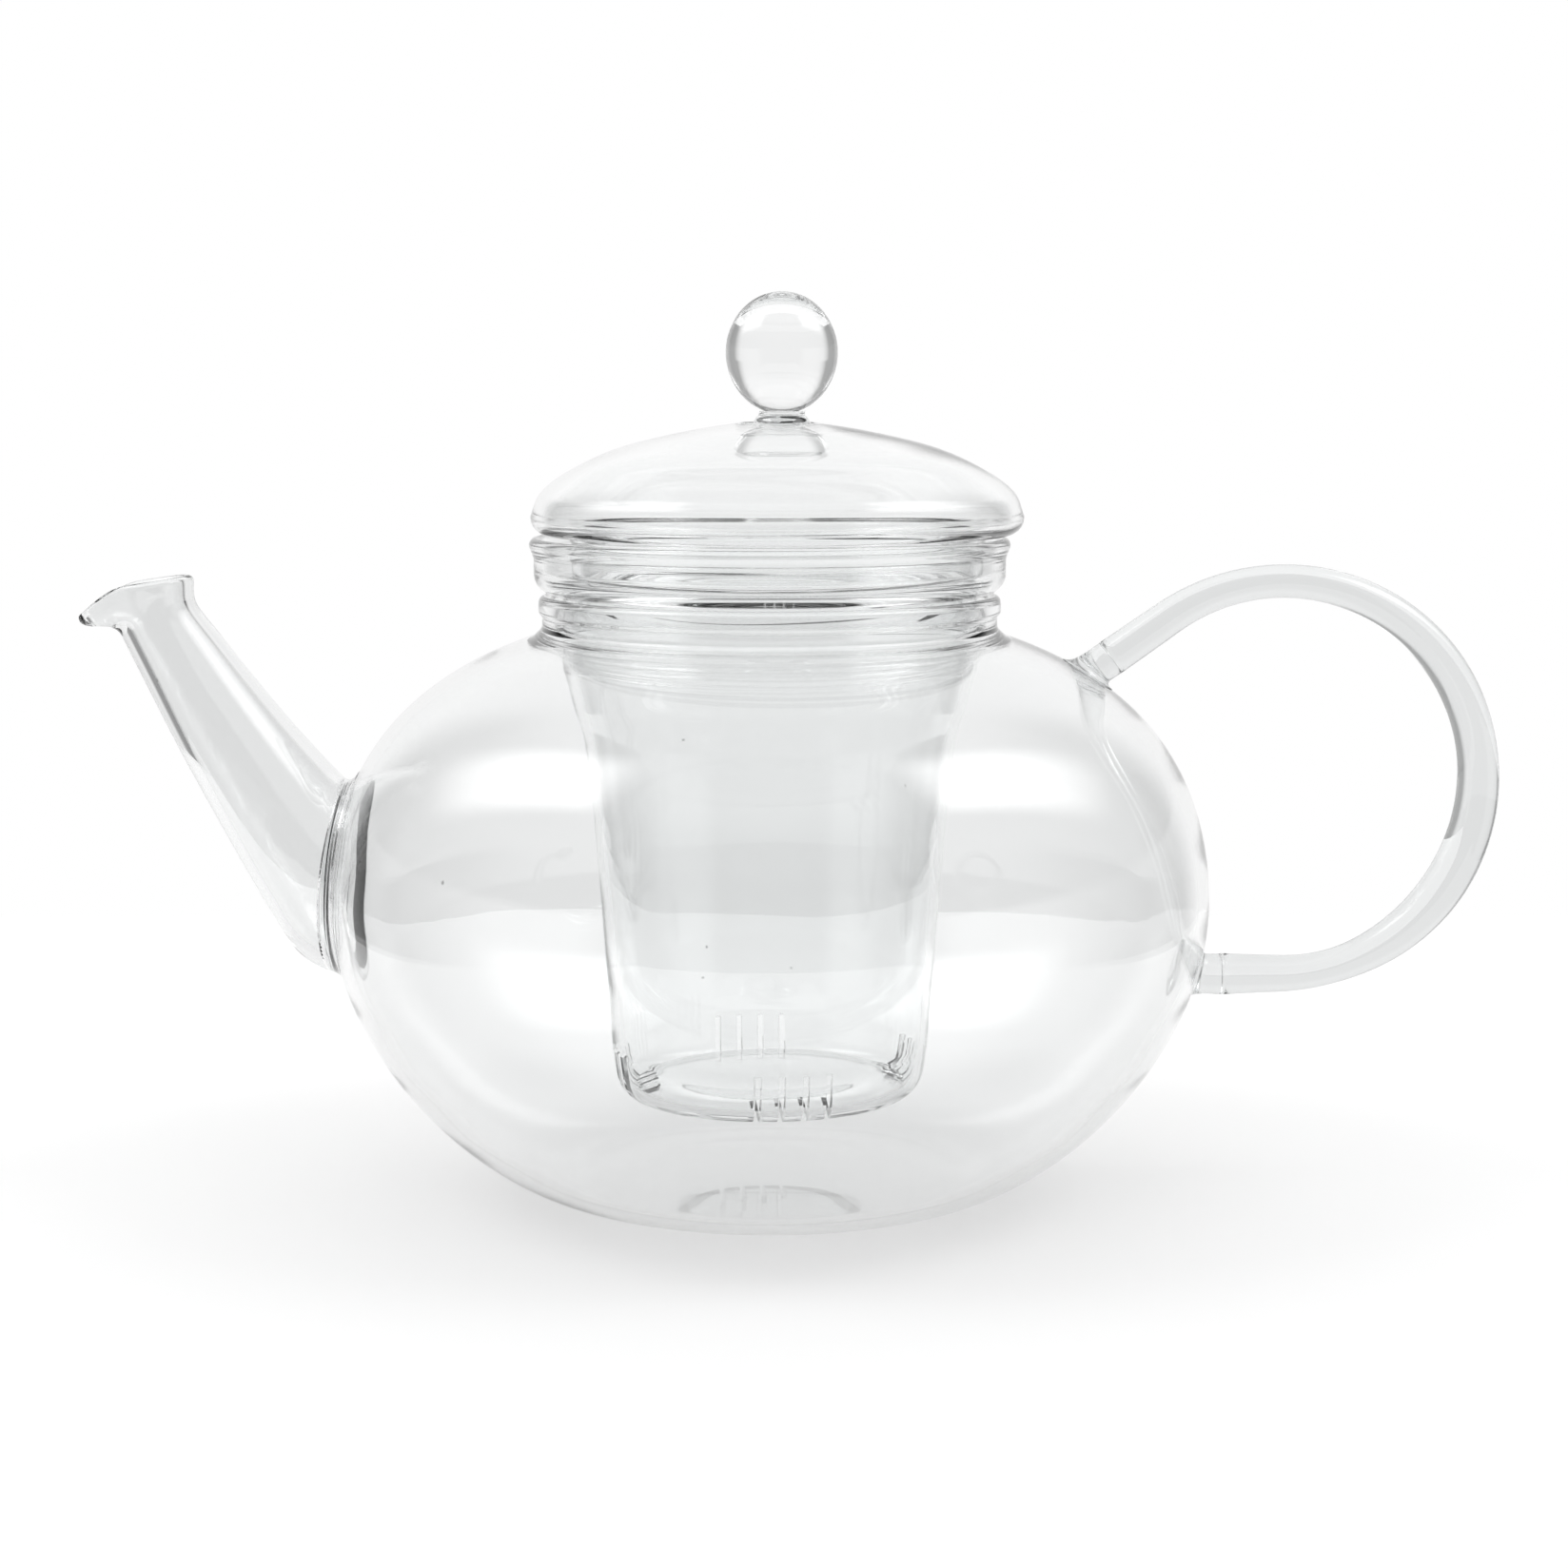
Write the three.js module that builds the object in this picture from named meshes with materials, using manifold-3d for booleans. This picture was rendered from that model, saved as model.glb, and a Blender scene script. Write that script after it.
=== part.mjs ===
// Clear glass teapot: a pot with spout and ring handle, a hanging infuser and a lift-off lid.
// Millimetres, +Z up. The origin is the centre of the flat base, the spout points to -X and
// the handle to +X. Neighbouring pieces of fused glass keep GAP between them.

import * as THREE from "three";
import { mergeVertices } from "three/addons/utils/BufferGeometryUtils.js";
import Module from "manifold-3d";

const wasm = await Module();
wasm.setup();

const GAP = 0.3;
const SIDES = 36;

const POT = {
  wall: 2,
  baseRadius: 31,
  bellyRadius: 73.8,
  bellyHeight: 49.6,
  neckRadius: 38,
  neckFoot: 94.5,
  rimRadius: 38.6,
  rimFoot: 97.4,
  rimTop: 101.1,
};

const SPOUT = {
  wall: 1.8,
  sides: 20,
  rootHeight: 53,
  rootHalfHeight: 16.2,
  rootHalfWidth: 12.8,
  lipReach: 4.3,
  lipDrop: 4.6,
};

const HANDLE = {
  rodRadius: 3.3,
  ringRadius: 33.3,
  ringX: 86,
  ringZ: 70,
  upperTangentAngle: 125,
};

const INFUSER = {
  wall: 1.7,
  collarWall: 2,
  collarRadius: 39.4,
  collarBottom: POT.rimTop + GAP,
  beadRadius: 1.25,
  beadHeight: 109.5,
  neckRadius: 34.6,
  cupFoot: 16.4,
  cupFootRadius: 23.4,
  cupPushUp: 2.2,
  cupWallRadius: 26.8,
  slitWidth: 1,
  slitPitch: 3.9,
  slitsPerGroup: 4,
  slitGroups: 4,
  slitInnerRadius: 19.3,
  slitTop: 24.2,
  slitTurn: 9,
};

const LID = {
  wall: 1.9,
  offsetX: 1.3,
  edgeRadius: 41.1,
  edgeBottom: 111.2,
  domeTop: 129.8,
  skirtRadius: 34.3,
  skirtBottom: 104,
  stemRadius: 4.2,
  stemFootRadius: 7,
  knobOffsetX: 0.7,
  knobHalfWidth: 9.3,
  knobHalfHeight: 10.1,
  knobCentre: 141.2,
};

const glass = (color) =>
  new THREE.MeshStandardMaterial({
    color,
    roughness: 0.03,
    metalness: 0,
    transparent: true,
    opacity: 0.35,
  });

const POT_GLASS = glass("#f3f6f6");
const INFUSER_GLASS = glass("#eef3f3");
const LID_GLASS = glass("#f4f7f7");

const v2 = (r, z) => new THREE.Vector2(r, z);
const v3 = (x, y, z) => new THREE.Vector3(x, y, z);
const radians = THREE.MathUtils.degToRad;

// ---- outline helpers -------------------------------------------------------------------

function bezier(from, pullFrom, pullTo, to, steps) {
  return new THREE.CubicBezierCurve(from, pullFrom, pullTo, to).getPoints(steps);
}

function spline(points, steps) {
  return new THREE.SplineCurve(points).getPoints(steps);
}

function arc(centreR, centreZ, radius, fromDegrees, toDegrees, steps) {
  return Array.from({ length: steps + 1 }, (_, i) => {
    const angle = radians(fromDegrees + ((toDegrees - fromDegrees) * i) / steps);
    return v2(centreR + radius * Math.cos(angle), centreZ + radius * Math.sin(angle));
  });
}

// Moves an open outline sideways: a positive distance goes to its right-hand side.
function offsetOutline(points, distance) {
  return points.map((point, i) => {
    const before = points[Math.max(i - 1, 0)];
    const after = points[Math.min(i + 1, points.length - 1)];
    const along = after.clone().sub(before).normalize();
    return v2(point.x + along.y * distance, point.y - along.x * distance);
  });
}

// ---- solid helpers ---------------------------------------------------------------------

function lathe(outline, sides = SIDES) {
  return new THREE.LatheGeometry(outline, sides).rotateX(Math.PI / 2);
}

function closedLoop(outline) {
  return [...outline, outline[0].clone()];
}

function solidOf(geometry) {
  const bare = geometry.clone();
  bare.deleteAttribute("normal");
  bare.deleteAttribute("uv");
  const merged = mergeVertices(bare, 1e-4);
  return new wasm.Manifold(
    new wasm.Mesh({
      numProp: 3,
      vertProperties: new Float32Array(merged.attributes.position.array),
      triVerts: new Uint32Array(merged.index.array),
    }),
  );
}

function geometryOf(solid) {
  const mesh = solid.getMesh();
  const geometry = new THREE.BufferGeometry();
  geometry.setAttribute("position", new THREE.BufferAttribute(mesh.vertProperties, 3));
  geometry.setIndex(new THREE.BufferAttribute(mesh.triVerts, 1));
  geometry.computeVertexNormals();
  return geometry;
}

// ---- pot body --------------------------------------------------------------------------

// Outer surface from the edge of the flat base to the foot of the neck.
function bellyOutline() {
  const { baseRadius, bellyRadius, bellyHeight, neckRadius, neckFoot } = POT;
  const shoulderEnd = v2(neckRadius + 0.4, neckFoot);
  const flank = bezier(
    v2(baseRadius, 0),
    v2(baseRadius + 17.2, 0),
    v2(bellyRadius, bellyHeight - 24.7),
    v2(bellyRadius, bellyHeight),
    8,
  );
  const shoulder = bezier(
    v2(bellyRadius, bellyHeight),
    v2(bellyRadius, bellyHeight + 23.8),
    v2(shoulderEnd.x + 21.9, shoulderEnd.y - 6.8),
    shoulderEnd,
    7,
  );
  return [...flank, ...shoulder.slice(1)];
}

// A solid the shape of the pot's outside, grown by GAP, that trims what is fused to the pot.
function potEnvelope() {
  const grown = offsetOutline(bellyOutline(), GAP);
  const last = grown.at(-1);
  const outline = [v2(0, -GAP), ...grown, v2(last.x, POT.rimTop), v2(0, POT.rimTop)];
  return solidOf(lathe(outline));
}

function potBody() {
  const { wall, neckRadius, rimRadius, rimFoot, rimTop } = POT;
  const outer = bellyOutline();
  const inner = offsetOutline(outer, -wall).reverse();
  const bore = neckRadius - wall;
  const neckAndRim = [
    v2(neckRadius, outer.at(-1).y + 1.2),
    v2(neckRadius, rimFoot),
    v2(rimRadius, rimFoot + 0.6),
    v2(rimRadius, rimTop - 0.8),
    v2(rimRadius - 0.8, rimTop),
    v2(bore + 0.7, rimTop),
    v2(bore, rimTop - 0.7),
    v2(bore, inner[0].y + 1.4),
  ];
  const shell = solidOf(lathe([v2(0, 0), ...outer, ...neckAndRim, ...inner, v2(0, wall)]));
  return geometryOf(shell.subtract(spoutHole()));
}

// The oval opening that leads from the belly into the spout.
function spoutHole() {
  const { wall, rootHeight, rootHalfHeight, rootHalfWidth, sides } = SPOUT;
  const length = POT.bellyRadius;
  const oval = new THREE.CylinderGeometry(1, 1, length, sides);
  oval.rotateZ(Math.PI / 2);
  oval.scale(1, rootHalfHeight - wall, rootHalfWidth - wall);
  oval.rotateX(Math.PI / 2);
  oval.translate(-length, 0, rootHeight);
  return solidOf(oval);
}

// ---- spout -----------------------------------------------------------------------------

// The spout's lower and upper edges, seen from the side, from inside the belly to the mouth,
// and its half width at the same stations.
const SPOUT_LOWER_EDGE = new THREE.CatmullRomCurve3([
  v3(-66, 0, 37.4),
  v3(-72.6, 0, 36.9),
  v3(-79, 0, 39.9),
  v3(-83.8, 0, 46.8),
  v3(-90.3, 0, 58.4),
  v3(-98.4, 0, 73.6),
  v3(-104.6, 0, 86.2),
  v3(-108.8, 0, 95),
  v3(-111.4, 0, 101.4),
]);
const SPOUT_UPPER_EDGE = new THREE.CatmullRomCurve3([
  v3(-66, 0, 68.8),
  v3(-70.8, 0, 69.5),
  v3(-73.6, 0, 72),
  v3(-76.9, 0, 75.6),
  v3(-81.1, 0, 80.4),
  v3(-86.6, 0, 87.2),
  v3(-92.2, 0, 94.4),
  v3(-96, 0, 99.6),
  v3(-96.4, 0, 103.6),
]);
const SPOUT_HALF_WIDTH = new THREE.SplineCurve(
  [12.8, 12.8, 12.5, 11.9, 10.6, 8.9, 7.3, 6.7, 7.2].map((width, i) => v2(i / 8, width)),
);
const SPOUT_STATIONS = 16;
const TUBE_RADIUS = 10;

// Bends a straight tube of TUBE_RADIUS and unit length along Z into the spout: each section
// becomes an oval hung between the two edge curves, and the last ones run out into the lip.
function bendIntoSpout(geometry) {
  const position = geometry.attributes.position;
  for (let i = 0; i < position.count; i++) {
    const station = THREE.MathUtils.clamp(position.getZ(i), 0, 1);
    const angle = Math.atan2(position.getY(i), position.getX(i));
    const inset = TUBE_RADIUS - Math.hypot(position.getX(i), position.getY(i));
    const lower = SPOUT_LOWER_EDGE.getPoint(station);
    const upper = SPOUT_UPPER_EDGE.getPoint(station);
    const halfWidth = SPOUT_HALF_WIDTH.getPoint(station).y;
    const centre = lower.clone().lerp(upper, 0.5);
    const across = upper.clone().sub(centre).multiplyScalar(1 - inset / halfWidth);
    const point = centre.addScaledVector(across, Math.cos(angle));
    const lip = Math.max(0, -Math.cos(angle)) ** 5 * THREE.MathUtils.smoothstep(station, 0.86, 1);
    position.setXYZ(
      i,
      point.x - SPOUT.lipReach * lip,
      (halfWidth - inset) * Math.sin(angle),
      point.z - SPOUT.lipDrop * lip,
    );
  }
  return geometry;
}

function spoutTube(outset, wall) {
  const stations = Array.from({ length: SPOUT_STATIONS + 1 }, (_, i) => i / SPOUT_STATIONS);
  const outer = stations.map((station) => v2(TUBE_RADIUS + outset, station));
  const outline = wall
    ? closedLoop([...outer, ...stations.reverse().map((station) => v2(TUBE_RADIUS - wall, station))])
    : [v2(0, 0), ...outer, v2(0, 1)];
  return solidOf(bendIntoSpout(lathe(outline, SPOUT.sides)));
}

function spout() {
  return geometryOf(spoutTube(0, SPOUT.wall).subtract(potEnvelope()));
}

// A smooth ring of glass around the spout's root, lying on the belly.
function spoutWeld() {
  const { rootHeight, rootHalfHeight, rootHalfWidth, sides } = SPOUT;
  const ringWidth = 1.6;
  const ringDepth = 2.2;
  const ringX = 2.6 - POT.bellyRadius;
  const section = closedLoop(
    arc(0, 0, 1, 0, 315, 7).map((p) => v2(rootHalfWidth + ringWidth * p.x, ringDepth * p.y)),
  );
  const ring = lathe(section, sides);
  ring.rotateY(-Math.PI / 2);
  ring.scale(1, 1, (rootHalfHeight + ringWidth) / (rootHalfWidth + ringWidth));
  ring.translate(ringX, 0, rootHeight);
  return geometryOf(solidOf(ring).subtract(potEnvelope()).subtract(spoutTube(GAP, 0)));
}

// ---- handle ----------------------------------------------------------------------------

const UPPER_PAD = { x: 53.4, z: 87.8, tilt: 59, length: 5.4, width: 5, height: 3.4 };
const LOWER_PAD = { x: 72.3, z: 36.6, tilt: -12, length: 5.2, width: 5, height: 4.2 };

function handlePath() {
  const { ringRadius, ringX, ringZ, upperTangentAngle } = HANDLE;
  const ringStep = 10;
  const points = [v3(UPPER_PAD.x + 1, 0, UPPER_PAD.z + 0.6)];
  for (let angle = upperTangentAngle; angle >= -90; angle -= ringStep) {
    const turn = radians(angle);
    points.push(v3(ringX + ringRadius * Math.cos(turn), 0, ringZ + ringRadius * Math.sin(turn)));
  }
  points.push(v3(LOWER_PAD.x, 0, LOWER_PAD.z));
  return new THREE.CatmullRomCurve3(points);
}

function handle() {
  const section = new THREE.Shape().absarc(0, 0, HANDLE.rodRadius, 0, 2 * Math.PI);
  const rod = new THREE.ExtrudeGeometry(section, {
    steps: 40,
    curveSegments: 6,
    extrudePath: handlePath(),
  });
  const trimmed = solidOf(rod)
    .subtract(padBlob(UPPER_PAD, GAP))
    .subtract(padBlob(LOWER_PAD, GAP))
    .subtract(potEnvelope());
  return geometryOf(largestBody(trimmed));
}

function largestBody(solid) {
  return solid.decompose().sort((a, b) => b.volume() - a.volume())[0];
}

// An egg-shaped blob half sunk in the belly; tilt is the angle of its height above +X.
function padBlob(pad, grow) {
  const blob = new THREE.SphereGeometry(1, 16, 10);
  blob.rotateX(Math.PI / 2);
  blob.scale(pad.height + grow, pad.width + grow, pad.length + grow);
  blob.rotateY(-radians(pad.tilt));
  blob.translate(pad.x, 0, pad.z);
  return solidOf(blob);
}

function handlePad(pad) {
  return geometryOf(padBlob(pad, 0).subtract(potEnvelope()));
}

// ---- infuser ---------------------------------------------------------------------------

function infuserCollar() {
  const { collarWall, collarRadius, collarBottom, beadRadius, beadHeight, neckRadius, wall } = INFUSER;
  const cornerRadius = 3.2;
  const innerCorner = 2;
  const bore = neckRadius - wall;
  const innerRadius = collarRadius - collarWall;
  return lathe(
    closedLoop([
      v2(bore, collarBottom),
      ...arc(collarRadius - cornerRadius, collarBottom + cornerRadius, cornerRadius, -90, 0, 4),
      ...arc(innerRadius + 1.5, beadHeight, beadRadius, -60, 180, 7),
      ...arc(
        innerRadius - innerCorner,
        collarBottom + collarWall + innerCorner,
        innerCorner,
        0,
        -90,
        3,
      ),
      v2(bore, collarBottom + collarWall),
    ]),
  );
}

// Outer surface of the infuser below its collar: the pushed-up bottom, the corner it stands
// out to, the tapered wall, the shoulder and the neck.
function cupOutline() {
  const { cupFoot, cupFootRadius, cupPushUp, cupWallRadius, neckRadius, collarBottom } = INFUSER;
  const shoulderTop = 89;
  const bottomAndCorner = [
    v2(cupFootRadius - 6.4, cupFoot + cupPushUp),
    v2(cupFootRadius - 2.4, cupFoot + 0.7),
    v2(cupFootRadius, cupFoot),
    v2(cupWallRadius - 0.9, cupFoot + 2.4),
    v2(cupWallRadius, cupFoot + 8),
  ];
  const wallAndShoulder = [
    v2(cupWallRadius + 0.7, cupFoot + 18),
    v2(29.7, 65),
    v2(31.1, 77),
    v2(32.8, 83),
    v2(neckRadius, shoulderTop),
  ];
  return [
    ...spline(bottomAndCorner, 7),
    ...spline(wallAndShoulder, 6),
    v2(neckRadius, collarBottom - GAP),
  ];
}

function infuserCup() {
  const { wall, slitGroups, slitsPerGroup } = INFUSER;
  const outer = cupOutline();
  const inner = offsetOutline(outer, -wall).reverse();
  const bottomZ = outer[0].y;
  let cup = solidOf(lathe([v2(0, bottomZ), ...outer, ...inner, v2(0, bottomZ + wall)]));
  for (let group = 0; group < slitGroups; group++) {
    for (let i = 0; i < slitsPerGroup; i++) {
      cup = cup.subtract(slitCutter(group, i));
    }
  }
  return geometryOf(cup);
}

// A thin blade that saws through the corner between the cup's bottom and its wall.
function slitCutter(group, index) {
  const { slitWidth, slitPitch, slitsPerGroup, slitGroups, slitInnerRadius } = INFUSER;
  const { slitTop, slitTurn, cupFoot, cupWallRadius } = INFUSER;
  const reach = cupWallRadius + 4 - slitInnerRadius;
  const halfHeight = slitTop - cupFoot;
  const blade = new THREE.BoxGeometry(reach, slitWidth, 2 * halfHeight);
  const sideways = (index - (slitsPerGroup - 1) / 2) * slitPitch;
  blade.translate(slitInnerRadius + reach / 2, sideways, slitTop - halfHeight);
  blade.rotateZ(radians(slitTurn + (360 / slitGroups) * group));
  return solidOf(blade);
}

// ---- lid -------------------------------------------------------------------------------

// Dome from its centre hole over the top and round the edge, which turns in under the dome.
function lidDome() {
  const { wall, edgeRadius, edgeBottom, domeTop, skirtRadius, stemRadius, knobOffsetX } = LID;
  const bore = skirtRadius - wall;
  const stemHole = stemRadius + knobOffsetX + GAP;
  const top = [
    v2(stemHole, domeTop),
    v2(15, domeTop - 1.5),
    v2(26.5, domeTop - 4.3),
    v2(34.6, domeTop - 8),
    v2(39.4, domeTop - 11.6),
    v2(edgeRadius, edgeBottom + 3.1),
  ];
  const outer = [
    ...spline(top, 7),
    ...bezier(
      v2(edgeRadius, edgeBottom + 3.1),
      v2(edgeRadius, edgeBottom + 1.2),
      v2(edgeRadius - 1.4, edgeBottom),
      v2(edgeRadius - 3, edgeBottom),
      3,
    ).slice(1),
  ];
  const inner = offsetOutline(outer, wall);
  const turnedUnder = [v2(bore, edgeBottom + 0.2), v2(bore, inner.at(-1).y)];
  return lathe(closedLoop([...outer, ...turnedUnder, ...inner.reverse()].reverse()));
}

function lidSkirt() {
  const { wall, edgeBottom, skirtRadius, skirtBottom } = LID;
  const top = edgeBottom + 0.2 - GAP;
  const inner = skirtRadius - wall;
  return lathe(
    closedLoop([
      v2(inner, skirtBottom + 0.7),
      v2(inner + 0.7, skirtBottom),
      v2(skirtRadius - 0.7, skirtBottom),
      v2(skirtRadius, skirtBottom + 0.7),
      v2(skirtRadius, top),
      v2(inner, top),
    ]),
  );
}

const KNOB_SEAT = LID.knobCentre - LID.knobHalfHeight + 0.5;

// The stem runs through the dome; its foot spreads out below the dome's inner surface.
function lidKnobStem() {
  const { wall, domeTop, stemRadius, stemFootRadius } = LID;
  const footTop = domeTop - wall - 0.6;
  const footBottom = footTop - 1.4;
  return lathe(
    [
      v2(0, footBottom),
      v2(stemFootRadius - 1.2, footBottom),
      v2(stemFootRadius, footTop - 0.6),
      v2(stemFootRadius - 0.6, footTop),
      v2(stemRadius, footTop),
      v2(stemRadius, domeTop + 0.7),
      v2(stemRadius - 0.7, KNOB_SEAT - GAP),
      v2(0, KNOB_SEAT - GAP),
    ],
    24,
  );
}

function lidKnob() {
  const { knobHalfWidth, knobHalfHeight, knobCentre } = LID;
  const seatAngle = THREE.MathUtils.radToDeg(Math.asin((KNOB_SEAT - knobCentre) / knobHalfHeight));
  const ball = arc(0, 0, 1, seatAngle, 90, 11);
  const outline = ball.map((p) => v2(knobHalfWidth * p.x, knobCentre + knobHalfHeight * p.y));
  outline.at(-1).x = 0;
  return lathe([v2(0, KNOB_SEAT), ...outline], 24);
}

// ---- assembly --------------------------------------------------------------------------

function named(name, geometry, material) {
  const mesh = new THREE.Mesh(geometry, material);
  mesh.name = name;
  return mesh;
}

const pot = new THREE.Group();
pot.add(
  named("pot_body", potBody(), POT_GLASS),
  named("spout", spout(), POT_GLASS),
  named("spout_weld", spoutWeld(), POT_GLASS),
  named("handle", handle(), POT_GLASS),
  named("handle_upper_weld", handlePad(UPPER_PAD), POT_GLASS),
  named("handle_lower_weld", handlePad(LOWER_PAD), POT_GLASS),
);

const infuser = new THREE.Group();
infuser.add(
  named("infuser_collar", infuserCollar(), INFUSER_GLASS),
  named("infuser_cup", infuserCup(), INFUSER_GLASS),
);

// The lid sits a little towards the handle, as far as its loose fit allows.
const knob = new THREE.Group();
knob.position.x = LID.knobOffsetX;
knob.add(
  named("lid_knob_stem", lidKnobStem(), LID_GLASS),
  named("lid_knob", lidKnob(), LID_GLASS),
);

const lid = new THREE.Group();
lid.position.x = LID.offsetX;
lid.add(
  named("lid_dome", lidDome(), LID_GLASS),
  named("lid_skirt", lidSkirt(), LID_GLASS),
  knob,
);

const teapot = new THREE.Group();
teapot.add(pot, infuser, lid);

export default teapot;
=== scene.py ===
import math

import bmesh
import bpy
import numpy as np
from mathutils import Matrix, Vector

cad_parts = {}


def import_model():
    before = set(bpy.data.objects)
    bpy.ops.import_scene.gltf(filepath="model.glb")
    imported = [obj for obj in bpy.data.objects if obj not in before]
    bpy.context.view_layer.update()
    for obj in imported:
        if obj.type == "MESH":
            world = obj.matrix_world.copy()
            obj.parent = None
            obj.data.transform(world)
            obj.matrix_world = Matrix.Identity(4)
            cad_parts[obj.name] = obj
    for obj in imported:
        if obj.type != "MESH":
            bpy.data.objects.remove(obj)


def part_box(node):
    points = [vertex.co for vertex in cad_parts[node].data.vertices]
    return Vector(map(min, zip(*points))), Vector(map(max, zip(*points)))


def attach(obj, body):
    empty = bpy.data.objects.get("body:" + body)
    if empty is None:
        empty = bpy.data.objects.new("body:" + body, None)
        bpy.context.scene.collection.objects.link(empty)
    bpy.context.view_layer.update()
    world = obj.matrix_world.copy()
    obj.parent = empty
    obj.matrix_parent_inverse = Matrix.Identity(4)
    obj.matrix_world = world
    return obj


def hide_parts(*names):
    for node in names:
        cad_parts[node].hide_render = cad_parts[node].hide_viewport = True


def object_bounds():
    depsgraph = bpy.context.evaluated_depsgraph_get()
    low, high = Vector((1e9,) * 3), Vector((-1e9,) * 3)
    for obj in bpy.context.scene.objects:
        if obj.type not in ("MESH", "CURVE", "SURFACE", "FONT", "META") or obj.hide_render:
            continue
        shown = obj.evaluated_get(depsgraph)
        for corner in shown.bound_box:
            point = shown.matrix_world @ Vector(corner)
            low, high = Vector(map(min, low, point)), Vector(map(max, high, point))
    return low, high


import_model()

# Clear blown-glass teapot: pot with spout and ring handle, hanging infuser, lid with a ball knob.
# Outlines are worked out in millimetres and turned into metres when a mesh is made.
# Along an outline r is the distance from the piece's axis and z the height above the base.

cad_low, cad_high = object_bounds()

MM = 0.001
SIDES = 192  # points round a turned piece
SEAM = 0.02  # gap in mm between two glass parts of one loose piece
HALVINGS = 40  # how often a search halves its stretch


class Box:
    """A CAD node's box in millimetres, with the radius and axis of a turned piece."""

    def __init__(self, node):
        low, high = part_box(node)
        self.low = np.array(low) / MM
        self.high = np.array(high) / MM
        self.radius = (self.high[1] - self.low[1]) / 2
        self.axis_x = (self.high[0] + self.low[0]) / 2
        self.bottom = self.low[2]
        self.top = self.high[2]


POT = Box("pot_body")
COLLAR = Box("infuser_collar")
CUP = Box("infuser_cup")
DOME = Box("lid_dome")
SKIRT = Box("lid_skirt")
KNOB = Box("lid_knob")


# ---- outlines --------------------------------------------------------------------------


def bezier(start, pull_start, pull_end, end, steps):
    """Steps along a cubic curve between two points, or between two rings of points."""
    a, b, c, d = (np.array(p, float) for p in (start, pull_start, pull_end, end))
    t = np.linspace(0, 1, steps + 1).reshape(-1, *[1] * a.ndim)
    return (1 - t) ** 3 * a + 3 * (1 - t) ** 2 * t * b + 3 * (1 - t) * t**2 * c + t**3 * d


def spline(points, steps):
    """A smooth line through the points, with that many steps between two of them."""
    share = np.linspace(0, 1, (len(points) - 1) * steps + 1)
    return spline_at(points, share)


def spline_at(points, share):
    """The places on the smooth line through the points, 0 at the first and 1 at the last."""
    points = np.array(points, float)
    padded = np.vstack([2 * points[0] - points[1], points, 2 * points[-1] - points[-2]])
    place = np.clip(share, 0, 1) * (len(points) - 1)
    span = np.minimum(place.astype(int), len(points) - 2)
    t = (place - span)[:, None]
    a, b, c, d = (padded[span + k] for k in range(4))
    return 0.5 * (
        2 * b
        + (c - a) * t
        + (2 * a - 5 * b + 4 * c - d) * t**2
        + (3 * b - a - 3 * c + d) * t**3
    )


def arc(centre, radius, start, end, steps=12):
    """A round stretch from start to end degrees, counted from +r towards +z."""
    turn = np.radians(np.linspace(start, end, steps + 1))
    return np.c_[centre[0] + radius * np.cos(turn), centre[1] + radius * np.sin(turn)]


def offset(outline, distance):
    """The outline moved sideways: a positive distance goes to its right-hand side. Points
    that a tight corner would fold over each other are left out."""
    along = np.gradient(outline, axis=0)
    along /= np.linalg.norm(along, axis=1)[:, None]
    moved = outline + distance * np.c_[along[:, 1], -along[:, 0]]
    nearest = np.linalg.norm(moved[:, None] - outline, axis=2).min(1)
    nearly_all = 0.985 * abs(distance)
    return moved[nearest > nearly_all]


def rounded(corners, steps=8):
    """A line through (r, z, corner radius) points with each corner turned into an arc."""
    places = np.array([c[:2] for c in corners], float)
    out = [places[0]]
    for before, corner, after, (_, _, radius) in zip(
        places, places[1:], places[2:], corners[1:]
    ):
        to_before = (before - corner) / np.linalg.norm(before - corner)
        to_after = (after - corner) / np.linalg.norm(after - corner)
        half = math.acos(np.clip(to_before @ to_after, -1, 1)) / 2
        reach = radius / math.tan(half)
        middle = (to_before + to_after) / np.linalg.norm(to_before + to_after)
        centre = corner + middle * radius / math.sin(half)
        first = corner + to_before * reach - centre
        last = corner + to_after * reach - centre
        for t in np.linspace(0, 1, steps + 1):
            ray = first * (1 - t) + last * t
            out.append(centre + ray * radius / np.linalg.norm(ray))
    out.append(places[-1])
    return np.array(out)


def stepped(outline, step=1.5):
    """The outline with extra points, so that no stretch is longer than step."""
    out = [outline[0]]
    for start, end in zip(outline, outline[1:]):
        count = max(1, math.ceil(np.linalg.norm(end - start) / step))
        out.extend(start + (end - start) * (np.arange(1, count + 1) / count)[:, None])
    return np.array(out)


# ---- meshes ----------------------------------------------------------------------------

SAME_PLACE = 1e-7  # points closer than this many metres are merged
SHARP_ANGLE = 40  # degrees
CALM_RADIUS = 12  # unevenness fades out from this radius to the axis


def mesh_object(name, vertices, faces):
    mesh = bpy.data.meshes.new(name)
    mesh.from_pydata([tuple(v) for v in np.asarray(vertices) * MM], [], faces)
    shell = bmesh.new()
    shell.from_mesh(mesh)
    bmesh.ops.remove_doubles(shell, verts=shell.verts, dist=SAME_PLACE)
    bmesh.ops.recalc_face_normals(shell, faces=shell.faces)
    shell.to_mesh(mesh)
    shell.free()
    mesh.shade_smooth()
    piece = bpy.data.objects.new(name, mesh)
    bpy.context.scene.collection.objects.link(piece)
    return piece


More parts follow.
